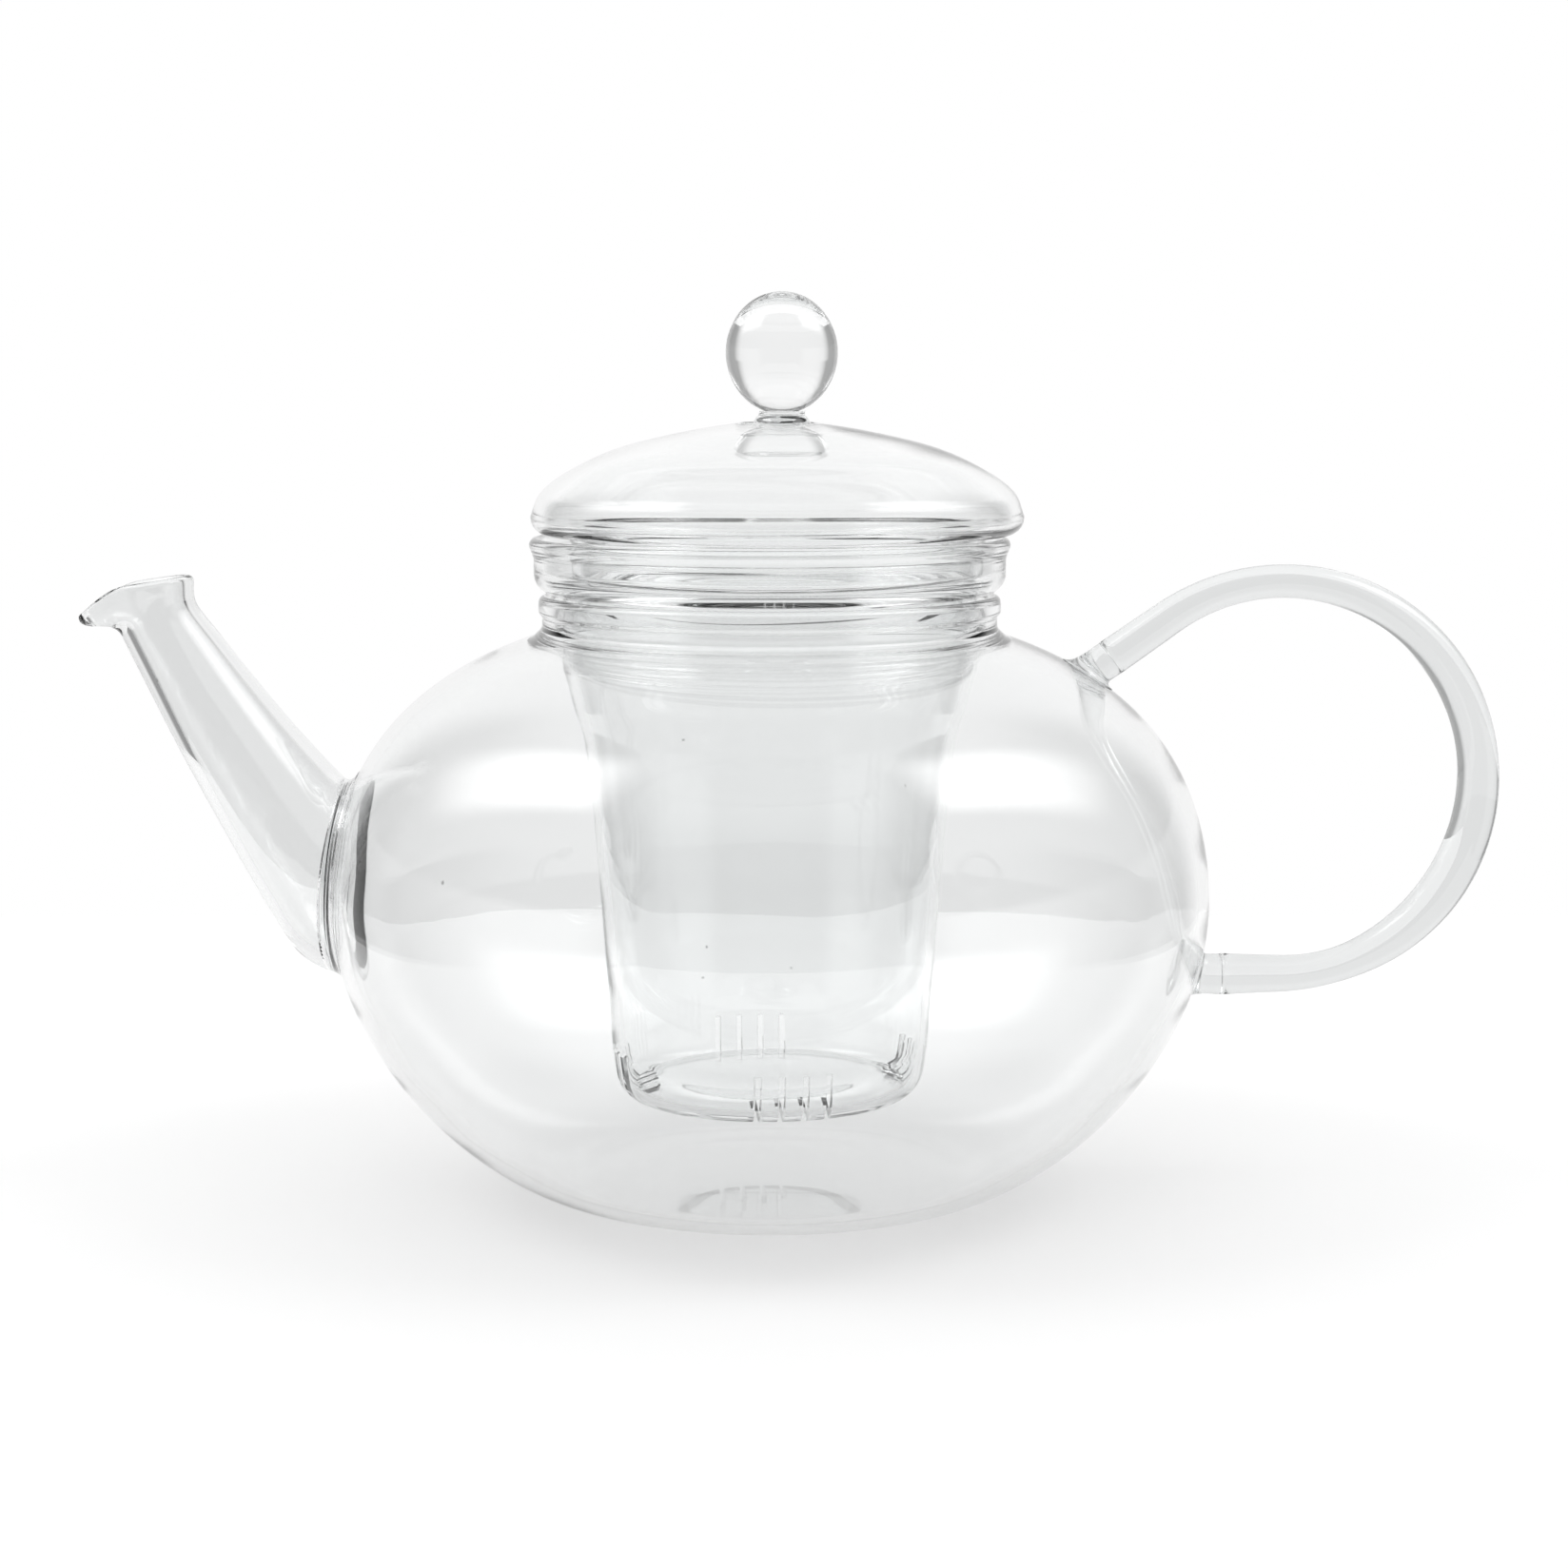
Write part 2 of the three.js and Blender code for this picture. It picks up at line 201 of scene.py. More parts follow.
def grid_object(name, grid, loop=False):
    """A closed skin over rings of points. The last ring joins the first, or both ends close
    over a middle point."""
    rows, sides = grid.shape[:2]
    vertices = grid.reshape(-1, 3)
    faces = []
    for i in range(rows if loop else rows - 1):
        below = i * sides
        above = (i + 1) % rows * sides
        for j in range(sides):
            k = (j + 1) % sides
            faces.append((below + j, below + k, above + k, above + j))
    if not loop:
        vertices = np.vstack([vertices, grid[0].mean(0), grid[-1].mean(0)])
        last = (rows - 1) * sides
        for j in range(sides):
            k = (j + 1) % sides
            faces.append((rows * sides, j, k))
            faces.append((rows * sides + 1, last + k, last + j))
    return mesh_object(name, vertices, faces)


def unevenness(grid, amount):
    """How far hand-worked glass strays from a true turned shape, ring by ring: wide lobes and
    finer waves that drift round the piece along its outline."""
    rows, sides = grid.shape[:2]
    turn = np.linspace(0, 2 * math.pi, sides, endpoint=False)[None]
    middles = grid.mean(1)
    radius = np.linalg.norm(grid - middles[:, None], axis=2).mean(1)
    middles = np.c_[radius, middles[:, 2]]
    run = np.r_[0, np.cumsum(np.linalg.norm(np.diff(middles, axis=0), axis=1))][:, None]
    lobes = np.sin(2 * turn + run / 23) + 0.7 * np.sin(3 * turn - run / 17 + 1.3)
    waves = 0.5 * np.sin(5 * turn + run / 9 + 0.6) + 0.45 * np.sin(run / 2.1 + np.sin(turn))
    return amount * (lobes + waves)


def turned(name, outline, axis_x=0.0, loop=False, sides=SIDES, uneven=0.03):
    """A piece turned round an upright axis. An open outline starts and ends on the axis."""
    turn = np.linspace(0, 2 * math.pi, sides, endpoint=False)
    r, z = outline[:, :1], outline[:, 1:]
    grid = np.stack([r * np.cos(turn), r * np.sin(turn), z + 0 * turn], axis=2)
    free = np.clip(r / CALM_RADIUS, 0, 1) * unevenness(grid, uneven)
    grid[..., 0] += free * np.cos(turn) + axis_x
    grid[..., 1] += free * np.sin(turn)
    return grid_object(name, grid, loop)


def joined(pieces):
    """The pieces as one object, under the name of the first."""
    shell = bmesh.new()
    for piece in pieces:
        shell.from_mesh(piece.data)
    shell.to_mesh(pieces[0].data)
    shell.free()
    for piece in pieces[1:]:
        bpy.data.objects.remove(piece)
    return pieces[0]


def cut(piece, cutter):
    """Takes the cutter's shape out of the piece and removes the cutter."""
    modifier = piece.modifiers.new("cut", "BOOLEAN")
    modifier.operation = "DIFFERENCE"
    modifier.solver = "EXACT"
    modifier.object = cutter
    bpy.context.view_layer.update()
    evaluated = piece.evaluated_get(bpy.context.evaluated_depsgraph_get())
    result = bpy.data.meshes.new_from_object(evaluated)
    piece.modifiers.clear()
    old = piece.data
    piece.data = result
    bpy.data.meshes.remove(old)
    bpy.data.objects.remove(cutter)
    result.set_sharp_from_angle(angle=math.radians(SHARP_ANGLE))


# ---- materials -------------------------------------------------------------------------

GLASS_IOR = 1.47
RIPPLE = 0.03  # strength of the surface's ripple
RIPPLE_DEPTH = 0.0002  # metres
LINE_SQUEEZE = 6.0  # the draw lines lie this much closer together along the height
ROUGHEST = 0.025
SPECK_GREY = 0.25
# Where a speck ends and where clear glass begins, in shares of the specks' spacing.
SPECK_EDGE, SPECK_CLEAR = 0.011, 0.017


def socket_values(node, values):
    for name, value in values.items():
        node.inputs[name].default_value = value


def glass(name, tint, speck_scale):
    """Clear borosilicate glass with faint draw lines, uneven polish and a few dust specks. The
    tint is the colour of light that has crossed both faces; speck_scale is specks a metre."""
    material = bpy.data.materials.new(name)
    material.use_nodes = True
    nodes, links = material.node_tree.nodes, material.node_tree.links
    shader = nodes["Principled BSDF"]
    socket_values(shader, {"Transmission Weight": 1.0, "IOR": GLASS_IOR, "Metallic": 0.0})

    place = nodes.new("ShaderNodeTexCoord")
    stretch = nodes.new("ShaderNodeMapping")
    stretch.inputs["Scale"].default_value = (1.0, 1.0, LINE_SQUEEZE)
    links.new(place.outputs["Object"], stretch.inputs["Vector"])

    lines = nodes.new("ShaderNodeTexNoise")
    socket_values(lines, {"Scale": 42.0, "Detail": 1.5, "Roughness": 0.4})
    links.new(stretch.outputs["Vector"], lines.inputs["Vector"])
    bump = nodes.new("ShaderNodeBump")
    socket_values(bump, {"Strength": RIPPLE, "Distance": RIPPLE_DEPTH})
    links.new(lines.outputs["Fac"], bump.inputs["Height"])
    links.new(bump.outputs["Normal"], shader.inputs["Normal"])

    polish = nodes.new("ShaderNodeMapRange")
    socket_values(polish, {"From Min": 0.35, "From Max": 0.75, "To Min": 0.0, "To Max": ROUGHEST})
    links.new(lines.outputs["Fac"], polish.inputs["Value"])
    links.new(polish.outputs["Result"], shader.inputs["Roughness"])

    specks = nodes.new("ShaderNodeTexVoronoi")
    socket_values(specks, {"Scale": speck_scale, "Randomness": 1.0})
    links.new(place.outputs["Object"], specks.inputs["Vector"])
    colours = nodes.new("ShaderNodeValToRGB")
    ramp = colours.color_ramp
    ramp.elements[0].position = SPECK_EDGE
    ramp.elements[0].color = (SPECK_GREY, SPECK_GREY, SPECK_GREY, 1)
    ramp.elements[1].position = SPECK_CLEAR
    ramp.elements[1].color = (*tint, 1)
    links.new(specks.outputs["Distance"], colours.inputs["Fac"])
    links.new(colours.outputs["Color"], shader.inputs["Base Color"])
    return material


POT_GLASS = glass("clear_pot_glass", (0.965, 0.97, 0.97), 38.0)
SPOUT_GLASS = glass("clear_spout_glass", (0.93, 0.935, 0.935), 38.0)
HANDLE_GLASS = glass("clear_handle_glass", (0.84, 0.85, 0.85), 38.0)
INFUSER_GLASS = glass("clear_infuser_glass", (0.965, 0.97, 0.97), 41.0)
LID_GLASS = glass("clear_lid_glass", (0.985, 0.99, 0.99), 45.0)


def place_piece(piece, body, material, slot, *nodes):
    """Gives a finished piece its glass and its body, and hides the CAD nodes that it stands for.
    """
    piece.data.materials.clear()
    piece.data.materials.append(material)
    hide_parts(*nodes)
    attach(piece, body)


def pot_piece(piece, *nodes, material=POT_GLASS):
    place_piece(piece, "pot", material, "pot_glass", *nodes)


def infuser_piece(piece, *nodes):
    place_piece(piece, "infuser", INFUSER_GLASS, "infuser_glass", *nodes)


def lid_piece(piece, *nodes):
    place_piece(piece, "lid", LID_GLASS, "lid_glass", *nodes)


# ---- pot body --------------------------------------------------------------------------

POT_WALL = 2.0
BASE_RADIUS = 31.0
BELLY_HEIGHT = 49.6
NECK_RADIUS = 38.0
NECK_FOOT = POT.top - 6.6
RIM_RADIUS = 38.6


def belly_outline():
    """Outer surface from the edge of the standing ring to the foot of the neck."""
    widest = POT.radius
    shoulder_end = (NECK_RADIUS + 0.4, NECK_FOOT)
    flank = bezier(
        (BASE_RADIUS, 0), (BASE_RADIUS + 17.2, 0), (widest, BELLY_HEIGHT - 24.7),
        (widest, BELLY_HEIGHT), 56,
    )
    shoulder = bezier(
        (widest, BELLY_HEIGHT), (widest, BELLY_HEIGHT + 23.8),
        (shoulder_end[0] + 21.9, shoulder_end[1] - 6.8), shoulder_end, 56,
    )
    return np.vstack([flank, shoulder[1:]])


BELLY = belly_outline()


def belly_radius(z):
    return np.interp(z, BELLY[:, 1], BELLY[:, 0])


def onto_belly(points, direction, above=SEAM):
    """The points slid along a direction, away from the axis, until they lie on the belly."""
    direction = np.array(direction, float)
    furthest = 30.0
    inside = np.full(points.shape[:-1], -furthest)
    outside = np.full(points.shape[:-1], furthest)
    for _ in range(HALVINGS):
        middle = (inside + outside) / 2
        tried = points + middle[..., None] * direction
        beyond = np.hypot(tried[..., 0], tried[..., 1]) > belly_radius(tried[..., 2]) + above
        outside = np.where(beyond, middle, outside)
        inside = np.where(beyond, inside, middle)
    return points + outside[..., None] * direction


def pot_body():
    bore = NECK_RADIUS - POT_WALL
    inner = offset(BELLY, -POT_WALL)[::-1]
    standing_ring = 25.0
    push_up = 0.9
    underside = bezier((0, push_up), (standing_ring - 9, push_up), (standing_ring - 4, 0),
                       (BASE_RADIUS - 1, 0), 24)
    floor = bezier(inner[-1], (BASE_RADIUS - 12, POT_WALL), (14, POT_WALL + push_up),
                   (0, POT_WALL + push_up), 24)
    neck = rounded([
        (*BELLY[-2], 0),
        (NECK_RADIUS, NECK_FOOT + 1.2, 1.5),
        (NECK_RADIUS, POT.top - 3.5, 0.8),
        (RIM_RADIUS, POT.top - 2.8, 0.6),
        (RIM_RADIUS, POT.top, 1.2),
        (bore, POT.top, 1.2),
        (bore, inner[0][1] + 1.0, 1.5),
        (*inner[1], 0),
    ])
    outline = np.vstack([underside, BELLY[1:-2], stepped(neck), inner[2:-1], floor])
    piece = turned("pot_body_glass", outline)
    cut(piece, spout_hole())
    pot_piece(piece, "pot_body")


def spout_hole():
    """The oval way from the belly into the spout, a little wider on the inside."""
    half_height = SPOUT_ROOT_HALF_HEIGHT - SPOUT_WALL
    half_width = SPOUT_ROOT_HALF_WIDTH - SPOUT_WALL
    turn = np.linspace(0, 2 * math.pi, 72, endpoint=False)
    rings = []
    for x, spread in ((-POT.radius - 8, 0.98), (-POT.radius - 0.5, 0.98), (-POT.radius + 1.0, 1.0),
                      (-POT.radius + 3.5, 1.08), (-POT.radius + 14, 1.4)):
        y = half_width * spread * np.sin(turn)
        z = SPOUT_ROOT_HEIGHT + half_height * spread * np.cos(turn)
        rings.append(np.c_[x + 0 * turn, y, z])
    return grid_object("spout_hole_cutter", np.array(rings))


# ---- spout -----------------------------------------------------------------------------

SPOUT_WALL = 1.8
SPOUT_ROOT_HEIGHT = 53.0
SPOUT_ROOT_HALF_HEIGHT = 16.2
SPOUT_ROOT_HALF_WIDTH = 12.8
SPOUT_LIP_REACH = 4.3
SPOUT_LIP_DROP = 4.6

# The spout's lower and upper edges as (x, z), from inside the belly to the mouth.
SPOUT_LOWER = [
    (-66, 37.4), (-72.6, 36.9), (-79, 39.9), (-83.8, 46.8), (-90.3, 58.4),
    (-98.4, 73.6), (-104.6, 86.2), (-108.8, 95), (-111.4, 101.4),
]
SPOUT_UPPER = [
    (-66, 68.8), (-70.8, 69.5), (-73.6, 72), (-76.9, 75.6), (-81.1, 80.4),
    (-86.6, 87.2), (-92.2, 94.4), (-96, 99.6), (-96.4, 103.6),
]
SPOUT_HALF_WIDTHS = [12.8, 12.8, 12.5, 11.9, 10.6, 8.9, 7.3, 6.7, 7.2]


def smooth_step(value, start, end):
    t = np.clip((value - start) / (end - start), 0, 1)
    return t * t * (3 - 2 * t)


def spout_points(station, angle, inset=0.0):
    """Points of the spout's skin, inset from its outer surface. Station runs from 0 inside
    the belly to 1 at the mouth; angle 0 is the upper edge."""
    lower = spline_at(SPOUT_LOWER, station)
    upper = spline_at(SPOUT_UPPER, station)
    half_width = spline_at([(w,) for w in SPOUT_HALF_WIDTHS], station)[:, 0]
    centre = (lower + upper) / 2
    across = (upper - centre) * (1 - inset / half_width)[:, None]
    lip = np.maximum(0, -np.cos(angle)) ** 5 * smooth_step(station, 0.86, 1)
    x = centre[:, 0] + across[:, 0] * np.cos(angle) - SPOUT_LIP_REACH * lip
    z = centre[:, 1] + across[:, 1] * np.cos(angle) - SPOUT_LIP_DROP * lip
    return np.c_[x, (half_width - inset) * np.sin(angle), z]


SPOUT_SIDES = 96
SPOUT_TURN = np.linspace(0, 2 * math.pi, SPOUT_SIDES, endpoint=False)


def spout_root_station(inset, above):
    """For each angle, the station where the skin comes out of the belly."""
    furthest = 0.6
    inside = np.zeros(SPOUT_SIDES)
    outside = np.full(SPOUT_SIDES, furthest)
    for _ in range(HALVINGS):
        middle = (inside + outside) / 2
        p = spout_points(middle, SPOUT_TURN, inset)
        beyond = np.hypot(p[:, 0], p[:, 1]) > belly_radius(p[:, 2]) + above
        outside = np.where(beyond, middle, outside)
        inside = np.where(beyond, inside, middle)
    return outside


def spout_rings(inset, shares):
    root = spout_root_station(inset, SEAM)
    return [spout_points(root + (1 - root) * share, SPOUT_TURN, inset) for share in shares]


def spout():
    shares = np.linspace(0, 1, 90)
    outer = spout_rings(0.0, shares)
    inner = spout_rings(SPOUT_WALL, shares[::-1])
    ones = np.ones(SPOUT_SIDES)
    outward = outer[-1].mean(0) - outer[-3].mean(0)
    outward /= np.linalg.norm(outward)
    lip = []
    for turn in np.linspace(0, math.pi, 11)[1:-1]:
        inset = SPOUT_WALL / 2 * (1 - math.cos(turn))
        beyond = SPOUT_WALL / 2 * math.sin(turn)
        lip.append(spout_points(ones, SPOUT_TURN, inset) + beyond * outward)
    foot = []
    for share in (0.25, 0.5, 0.75):
        ring = inner[-1] * (1 - share) + outer[0] * share
        foot.append(onto_belly(ring, (-1, 0, 0)))
    grid = np.array([*outer, *lip, *inner, *foot])
    pot_piece(grid_object("spout_glass", grid, loop=True), "spout", material=SPOUT_GLASS)


def spout_weld():
    """The fillet of glass that runs round the spout's root."""
    rise = 0.055
    spread = 1.12
    root = spout_root_station(0.0, SEAM)
    against_spout = [
        spout_points(root + rise * share, SPOUT_TURN, -SEAM) for share in np.linspace(0, 1, 6)
    ]
    middle = against_spout[0].mean(0)
    edge = onto_belly(middle + (against_spout[0] - middle) * spread, (-1, 0, 0), SEAM + 0.12)
    edge_foot = onto_belly(middle + (against_spout[0] - middle) * spread, (-1, 0, 0))
    start = against_spout[-1]
    pull_start = against_spout[0] + (against_spout[-1] - against_spout[0]) * 0.35
    pull_end = onto_belly(edge * 0.45 + against_spout[0] * 0.55, (-1, 0, 0), 0.25)
    concave = bezier(start, pull_start, pull_end, edge, 8)[1:]
    under = onto_belly(edge_foot * 0.5 + against_spout[0] * 0.5, (-1, 0, 0))
    grid = np.array([*against_spout, *concave, edge_foot, under])
    pot_piece(grid_object("spout_weld_glass", grid, loop=True), "spout_weld")


# ---- handle ----------------------------------------------------------------------------

HANDLE_CENTRE = np.array((86.0, 70.0))
HANDLE_RADIUS = 33.3
UPPER_WELD = {"x": 53.4, "z": 87.8, "tilt": 59.0, "half_length": 5.4, "half_width": 5.0}
LOWER_WELD = {"x": 72.3, "z": 36.6, "tilt": -12.0, "half_length": 5.2, "half_width": 5.0}
# Rod radius at shares of the way from the upper to the lower weld.
ROD_RADII = [3.2, 3.1, 2.9, 2.8, 2.9, 3.1, 3.3, 3.4, 3.6, 3.7, 3.4, 2.95, 3.2, 3.7]


def tangent_turn(point, side):
    """The angle at which a straight line from the point touches the handle's ring."""
    away = np.array(point) - HANDLE_CENTRE
    return math.atan2(away[1], away[0]) + side * math.acos(HANDLE_RADIUS / np.linalg.norm(away))


def handle_path():
    """Middle line of the rod as (x, z): a straight piece, the ring and a straight piece."""
    upper = (UPPER_WELD["x"], UPPER_WELD["z"])
    lower = (LOWER_WELD["x"], LOWER_WELD["z"])
    first = tangent_turn(upper, -1)
    last = tangent_turn(lower, 1) - 2 * math.pi * (tangent_turn(lower, 1) > 0)
    ring = arc(HANDLE_CENTRE, HANDLE_RADIUS, math.degrees(first), math.degrees(last), 120)
    return stepped(np.vstack([upper, ring, lower]), 1.2)


def rod_rings(path, radii, sides=48):
    """Rings of points round a middle line that lies in the plane of the handle."""
    along = np.gradient(path, axis=0)
    along /= np.linalg.norm(along, axis=1)[:, None]
    turn = np.linspace(0, 2 * math.pi, sides, endpoint=False)
    rings = []
    for (x, z), (along_x, along_z), radius in zip(path, along, radii):
        out = radius * np.cos(turn)
        rings.append(np.c_[x - along_z * out, radius * np.sin(turn), z + along_x * out])
    return np.array(rings)


def rod_radius(share):
    return spline_at([(r,) for r in ROD_RADII], np.asarray(share))[:, 0]


WELD_HEIGHT = 4.2


def handle():
    path = handle_path()
    run = np.r_[0, np.cumsum(np.linalg.norm(np.diff(path, axis=0), axis=1))]
    kept = (run >= WELD_HEIGHT) & (run <= run[-1] - WELD_HEIGHT)
    rings = rod_rings(path, rod_radius(run / run[-1]))[kept]
    pot_piece(grid_object("handle_glass", rings), "handle", material=HANDLE_GLASS)
    handle_weld("handle_upper_weld", UPPER_WELD, rings[0], path[1] - path[0])
    handle_weld("handle_lower_weld", LOWER_WELD, rings[-1], path[-2] - path[-1])


def handle_weld(node, weld, ring, outwards):
    """The flared foot that joins an end of the rod to the belly."""
    away = np.array((outwards[0], 0, outwards[1])) / np.linalg.norm(outwards)
    tilt = math.radians(weld["tilt"])
    normal = np.array((math.cos(tilt), 0, math.sin(tilt)))
    up = np.array((-math.sin(tilt), 0, math.cos(tilt)))
    middle = np.array((weld["x"], 0, weld["z"]))
    ring = ring - away * SEAM
    spoke = ring - ring.mean(0)
    spoke /= np.linalg.norm(spoke, axis=1)[:, None]
    reach = np.c_[spoke @ up * weld["half_length"], spoke[:, 1] * weld["half_width"]]
    foot = middle + reach[:, :1] * up + reach[:, 1:] * np.array((0, 1, 0))
    edge = onto_belly(foot, normal, SEAM + 0.12)
    pull_ring = ring - away * WELD_HEIGHT * 0.55
    pull_edge = onto_belly(middle + (foot - middle) * 0.6, normal, 0.4)
    skin = bezier(ring, pull_ring, pull_edge, edge, 12)
    under = [
        onto_belly(middle + (foot - middle) * share, normal) for share in (1.0, 0.7, 0.4, 0.15)
    ]
    foot_glass = grid_object(node + "_glass", np.array([*skin, *under]))
    pot_piece(foot_glass, node, material=HANDLE_GLASS)


# ---- infuser ---------------------------------------------------------------------------

INFUSER_WALL = 1.7
COLLAR_WALL = 2.0
BEAD_RADIUS = 1.25
INFUSER_NECK_RADIUS = 34.6
SHOULDER_TOP = 89.0
SLITS = {
    "groups": 4, "in_group": 4, "width": 1.0, "pitch": 3.9,
    "inner_radius": 19.3, "top": 24.2, "turn": 9,
}


def infuser_collar():
    bore = INFUSER_NECK_RADIUS - INFUSER_WALL
    bead_x = COLLAR.radius - BEAD_RADIUS
    bead_z = COLLAR.top - BEAD_RADIUS
    outer_radius = bead_x + 0.5
    inner_radius = outer_radius - COLLAR_WALL
    bottom = COLLAR.bottom
    below_bead = rounded([
        (bore + 1, bottom, 0),
        (outer_radius, bottom, 3.4),
        (outer_radius, bead_z - 2.2, 2.0),
        (bead_x + BEAD_RADIUS * 0.8, bead_z - 0.8, 0),
    ])
    bead = arc((bead_x, bead_z), BEAD_RADIUS, -35, 200, 20)
    inside = rounded([
        (bead_x - BEAD_RADIUS * 0.95, bead_z - 0.6, 0),
        (inner_radius, bead_z - 2.4, 2.0),
        (inner_radius, bottom + COLLAR_WALL, 2.2),
        (bore, bottom + COLLAR_WALL, 0.9),
        (bore, bottom, 0.1),
        (bore + 1, bottom, 0),
    ])
    outline = stepped(np.vstack([below_bead[:-1], bead, inside[1:-1]]))
    infuser_piece(turned("infuser_collar_glass", outline, loop=True), "infuser_collar")


def cup_outline():
    """Outer surface below the collar: pushed-up bottom, corner, tapered wall, shoulder."""
    foot = CUP.bottom
    bottom_and_corner = spline(
        [(0, foot + 2.2), (9, foot + 2.2), (17, foot + 1.9), (21, foot + 0.7), (23.4, foot),
         (25.9, foot + 2.4), (26.8, foot + 8)], 10)
    wall_and_shoulder = spline(
        [(26.8, foot + 8), (27.5, foot + 18), (29.7, 65), (31.1, 77), (32.8, 83),
         (INFUSER_NECK_RADIUS, SHOULDER_TOP)], 14)
    return np.vstack([bottom_and_corner, wall_and_shoulder[1:]])


def infuser_cup():
    outer = cup_outline()
    inner = offset(outer, -INFUSER_WALL)
    inner[0, 0] = 0
    top = COLLAR.bottom - SEAM
    bore = INFUSER_NECK_RADIUS - INFUSER_WALL
    neck = rounded([
        (*outer[-2], 0),
        (INFUSER_NECK_RADIUS, SHOULDER_TOP + 1.5, 3.0),
        (INFUSER_NECK_RADIUS, top, 0.15),
        (bore, top, 0.15),
        (bore, SHOULDER_TOP + 1.0, 3.0),
        (*inner[-2], 0),
    ])
    outline = np.vstack([outer[:-2], stepped(neck), inner[-3::-1]])
    piece = turned("infuser_cup_glass", outline)
    cut(piece, slit_blades())
    infuser_piece(piece, "infuser_cup")


def slit_blades():
    """Thin blades that saw through the corner of the cup's bottom, as one cutter."""
    inner_end = SLITS["inner_radius"]
    outer_end = CUP.radius + 4
    below = CUP.bottom - 6
    face = rounded([
        (inner_end + 4, below, 0),
        (inner_end, below, 0.4),
        (inner_end, SLITS["top"], 0.8),
        (outer_end, SLITS["top"], 0.4),
        (outer_end, below, 0.4),
        (inner_end + 4, below, 0),
    ], 4)[:-1]
    blades = []
    for group in range(SLITS["groups"]):
        heading = math.radians(SLITS["turn"] + 360 / SLITS["groups"] * group)
        outwards = np.array((math.cos(heading), math.sin(heading), 0))
        sideways = np.array((-math.sin(heading), math.cos(heading), 0))
        for index in range(SLITS["in_group"]):
            middle = (index - (SLITS["in_group"] - 1) / 2) * SLITS["pitch"]
            sides = []
            for across in (middle - SLITS["width"] / 2, middle + SLITS["width"] / 2):
                side = face[:, :1] * outwards + across * sideways
                side[:, 2] = face[:, 1]
                sides.append(side)
            blades.append(grid_object("slit_blade", np.array(sides)))
    return joined(blades)


# ---- lid -------------------------------------------------------------------------------

LID_WALL = 1.9
STEM_RADIUS = 4.2
STEM_FOOT_RADIUS = 7.0
SKIRT_RADIUS = SKIRT.radius


def lid_dome():
    top = DOME.top
    bottom = DOME.bottom
    edge = DOME.radius
    bore = SKIRT_RADIUS - LID_WALL
    collar = STEM_RADIUS + 1.2
    outer = np.vstack([
        spline([(collar, top), (15, top - 1.5), (26.5, top - 4.3), (34.6, top - 8),
                (39.4, top - 11.6), (edge, bottom + 3.1)], 14),
        bezier((edge, bottom + 3.1), (edge, bottom + 1.2), (edge - 1.4, bottom),
               (edge - 3, bottom), 12)[1:],
    ])
    inner = offset(outer, LID_WALL)
    under = stepped(rounded([
        (*outer[-1], 0),
        (bore, bottom, 0.3),
        (bore, inner[-1][1], 0.9),
        (*inner[-1], 0),
    ]))
    hole = rounded([
        (*inner[1], 0),
        (STEM_FOOT_RADIUS + 0.3, inner[0][1], 0.3),
        (collar, top, 0.3),
        (*outer[1], 0),
    ])
    outline = np.vstack([outer[2:], under[1:-1], inner[:1:-1], hole])
    lid_piece(turned("lid_dome_glass", outline, DOME.axis_x, loop=True), "lid_dome")


def lid_skirt():
    top = DOME.bottom - SEAM
    inner = SKIRT_RADIUS - LID_WALL
    outline = stepped(rounded([
        (inner + 1, SKIRT.bottom, 0),
        (SKIRT_RADIUS, SKIRT.bottom, 0.8),
        (SKIRT_RADIUS, top - 1.6, 3.0),
        (SKIRT_RADIUS + 1.0, top, 0.15),
        (inner, top, 0.15),
        (inner, SKIRT.bottom, 0.8),
        (inner + 1, SKIRT.bottom, 0),
    ])[:-1])
    lid_piece(turned("lid_skirt_glass", outline, SKIRT.axis_x, loop=True), "lid_skirt")


def lid_stem():
    """The stem flares below the knob's seat and again where it is fused into the dome."""
    top = DOME.top
    inside_top = top - LID_WALL - 0.1
    seat = KNOB.bottom - SEAM
    outline = stepped(np.vstack([
        bezier((0, inside_top - 0.6), (2.5, inside_top - 0.6), (4.5, inside_top - 1.2),
               (STEM_FOOT_RADIUS - 0.8, inside_top - 1.4), 10),
        arc((STEM_FOOT_RADIUS - 0.8, inside_top - 0.7), 0.7, -80, 80, 8),
        bezier((STEM_FOOT_RADIUS - 0.9, inside_top), (5.4, inside_top + 0.4),
               (STEM_RADIUS + 0.6, top - 0.2), (STEM_RADIUS + 0.2, top + 0.5), 10),
        bezier((STEM_RADIUS, top + 0.8), (STEM_RADIUS - 0.4, top + 1.2),
               (STEM_RADIUS - 0.5, seat - 0.5), (STEM_RADIUS - 0.2, seat), 8),
        [(0, seat)],
    ]), 0.6)
    piece = turned("lid_knob_stem_glass", outline, KNOB.axis_x, sides=96, uneven=0.0)
    lid_piece(piece, "lid_knob_stem")


def lid_knob():
    half_height = (KNOB.top - KNOB.bottom + 0.5) / 2
    centre = KNOB.top - half_height
    seat = math.degrees(math.asin((KNOB.bottom - centre) / half_height))
    ball = arc((0, 0), 1, seat, 90, 72)
    ball[-1, 0] = 0
    skin = np.c_[KNOB.radius * ball[:, 0], centre + half_height * ball[:, 1]]
    outline = np.vstack([[(0, KNOB.bottom)], skin])
    piece = turned("lid_knob_glass", outline, KNOB.axis_x, sides=96, uneven=0.03)
    lid_piece(piece, "lid_knob")


# ---- stage, light and camera -----------------------------------------------------------

